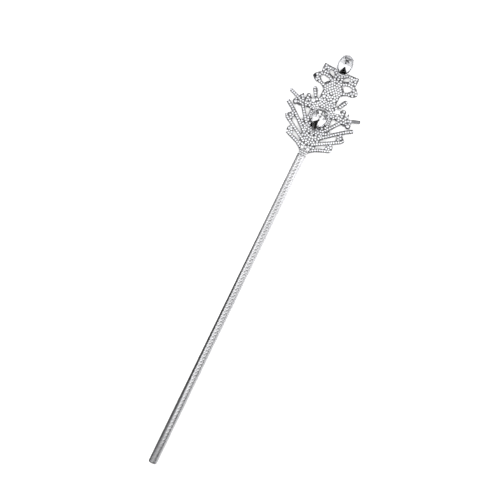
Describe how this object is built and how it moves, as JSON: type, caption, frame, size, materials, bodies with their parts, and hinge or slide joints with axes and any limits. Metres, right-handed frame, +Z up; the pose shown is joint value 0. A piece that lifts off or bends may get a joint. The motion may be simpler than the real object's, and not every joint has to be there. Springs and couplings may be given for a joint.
{
  "type": "sceptre",
  "caption": "Slim dress sceptre with a spiral-fluted tube shaft and a flat openwork head set with clear stones; carried upright in one hand, lies on its back when put down.",
  "frame": {"origin": "bottom centre of the whole sceptre's box as it lies on its back, on the mirror plane", "axes": "+X along the shaft from the butt to the tip of the head, +Y across the head, +Z up out of the jewelled face"},
  "size_m": [0.435, 0.0752, 0.0094],
  "materials": {
    "silver_plate": "bright silver-coloured plate, polished, with fine handling marks",
    "crystal": "clear cut glass, polished facets"
  },
  "bodies": {
    "root": {"shaft": "silver_plate", "head_frame": "silver_plate", "top_setting": "silver_plate", "top_crystal": "crystal", "centre_setting": "silver_plate", "centre_crystal": "crystal"}
  },
  "joints": []
}
